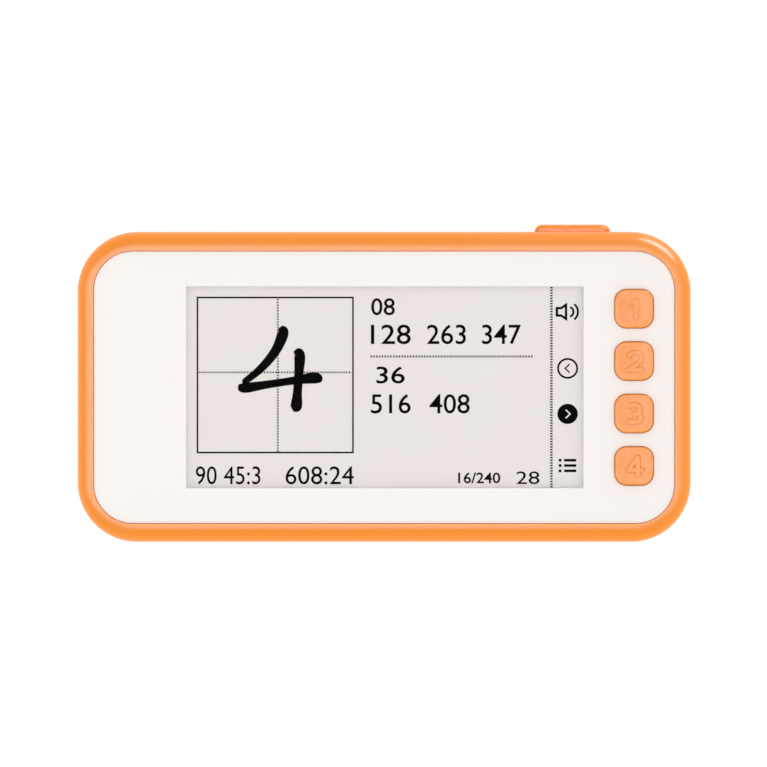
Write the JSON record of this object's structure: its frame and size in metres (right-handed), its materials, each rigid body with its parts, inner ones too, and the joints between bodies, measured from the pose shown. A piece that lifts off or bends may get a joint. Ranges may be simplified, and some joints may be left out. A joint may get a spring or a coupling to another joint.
{
  "type": "electronic dictionary",
  "caption": "Handheld electronic dictionary: rounded slab housing with an e-paper screen, a column of keys beside it, a power slider on the top edge and a charging port below.",
  "frame": {"origin": "centre of the housing's outline, on its flat back face", "axes": "+Z out of the screen towards the reader, +X to the reader's right (the keys), +Y to the top edge (the power slider)"},
  "size_m": [0.093, 0.0481, 0.0124],
  "materials": {
    "orange_abs": "satin moulded ABS",
    "white_panel": "satin moulded ABS, slightly warm white",
    "orange_key": "satin moulded plastic, a shade paler than the housing",
    "clear_window": "clear acrylic with a fine anti-glare face",
    "epaper_film": "matt paper-like film",
    "display_glass": "thin bare glass",
    "flex_circuit": "amber polyimide film",
    "circuit_board": "green solder mask",
    "chip_epoxy": "black moulding compound",
    "ceramic_parts": "tan ceramic",
    "connector_nylon": "ivory nylon",
    "black_nylon": "black nylon",
    "black_foam_tape": "closed-cell foam and adhesive tape",
    "switch_steel": "stamped plated steel",
    "port_steel": "drawn nickel-plated steel",
    "screw_steel": "machined nickel-plated steel",
    "gold_plate": "gold-plated contacts",
    "battery_foil": "laminated foil pouch",
    "lead_jacket": "soft insulation",
    "speaker_film": "pressed membrane",
    "speaker_cloth": "black dust cloth"
  },
  "bodies": {
    "root": {"front_frame": "orange_abs", "rear_cover": "orange_abs", "face_panel": "white_panel", "panel_tape": "black_foam_tape", "window_lens": "clear_window", "display_seal": "black_foam_tape", "display_film": "epaper_film", "display_glass": "display_glass", "display_driver": "chip_epoxy", "display_flex": "flex_circuit", "flex_connector": "connector_nylon", "display_cushion": "black_foam_tape", "main_board": "circuit_board", "processor_chip": "chip_epoxy", "memory_chip": "chip_epoxy", "audio_chip": "chip_epoxy", "board_passives": "ceramic_parts", "key_switch_1": "switch_steel", "key_switch_2": "switch_steel", "key_switch_3": "switch_steel", "key_switch_4": "switch_steel", "key_dome_1": "switch_steel", "key_dome_2": "switch_steel", "key_dome_3": "switch_steel", "key_dome_4": "switch_steel", "slide_switch_body": "switch_steel", "usb_shell": "port_steel", "usb_tongue": "black_nylon", "usb_contacts": "gold_plate", "battery_cell": "battery_foil", "battery_tape": "black_foam_tape", "battery_leads": "lead_jacket", "battery_plug": "connector_nylon", "battery_socket": "connector_nylon", "speaker_basket": "black_nylon", "speaker_cone": "speaker_film", "speaker_magnet": "switch_steel", "speaker_gasket": "black_foam_tape", "speaker_mesh": "speaker_cloth", "speaker_pad": "black_foam_tape", "speaker_leads": "lead_jacket", "housing_screws": "screw_steel", "board_screws": "screw_steel"},
    "key_1": {"key_cap_1": "orange_key", "key_plunger_1": "connector_nylon"},
    "key_2": {"key_cap_2": "orange_key", "key_plunger_2": "connector_nylon"},
    "key_3": {"key_cap_3": "orange_key", "key_plunger_3": "connector_nylon"},
    "key_4": {"key_cap_4": "orange_key", "key_plunger_4": "connector_nylon"},
    "slider": {"slider_knob": "orange_key", "slide_switch_lever": "black_nylon"}
  },
  "joints": [
    {"name": "key_1_press", "type": "slide", "parent": "root", "child": "key_1", "axis": [0, 0, -1], "range_m": [0, 0.00025], "stiffness_N_per_m": 400, "springref_m": -0.001, "deforming": ["key_dome_1"]},
    {"name": "key_2_press", "type": "slide", "parent": "root", "child": "key_2", "axis": [0, 0, -1], "range_m": [0, 0.00025], "stiffness_N_per_m": 400, "springref_m": -0.001, "deforming": ["key_dome_2"]},
    {"name": "key_3_press", "type": "slide", "parent": "root", "child": "key_3", "axis": [0, 0, -1], "range_m": [0, 0.00025], "stiffness_N_per_m": 400, "springref_m": -0.001, "deforming": ["key_dome_3"]},
    {"name": "key_4_press", "type": "slide", "parent": "root", "child": "key_4", "axis": [0, 0, -1], "range_m": [0, 0.00025], "stiffness_N_per_m": 400, "springref_m": -0.001, "deforming": ["key_dome_4"]},
    {"name": "power_slide", "type": "slide", "parent": "root", "child": "slider", "axis": [-1, 0, 0], "range_m": [0, 0.002]}
  ]
}
